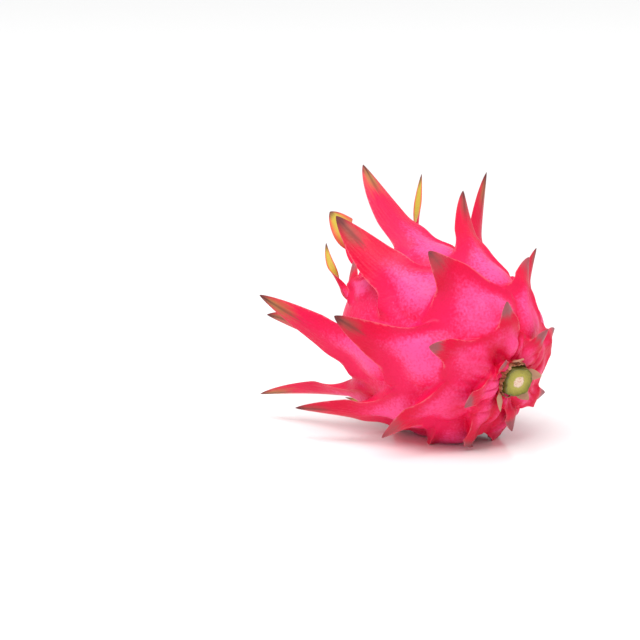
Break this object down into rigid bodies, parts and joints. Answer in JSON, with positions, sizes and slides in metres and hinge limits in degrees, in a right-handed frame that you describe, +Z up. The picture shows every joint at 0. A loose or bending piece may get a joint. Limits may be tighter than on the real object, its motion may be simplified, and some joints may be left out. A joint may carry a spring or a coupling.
{
  "type": "dragon fruit",
  "caption": "Whole dragon fruit lying on its side, with leafy scales that curl out of the rind, a cut stem stub and the dried flower at the other end.",
  "frame": {"origin": "middle of the flat spot that the fruit rests on, at table height", "axes": "+X towards the stem end, level; +Z up; +Y to the left of somebody who looks along +X. The fruit's own axis dips 14 degrees below +X at the stem end."},
  "size_m": [0.1421, 0.1399, 0.1213],
  "materials": {
    "rind": "waxy, satin pink rind that turns olive and dark purple-brown at the tips of the scales",
    "stem": "freshly cut green stem, damp and slightly rough",
    "dried_flower": "dry brown papery petals"
  },
  "bodies": {
    "root": {"fruit": "rind", "stem": "stem", "dried_flower": "dried_flower"}
  },
  "joints": []
}
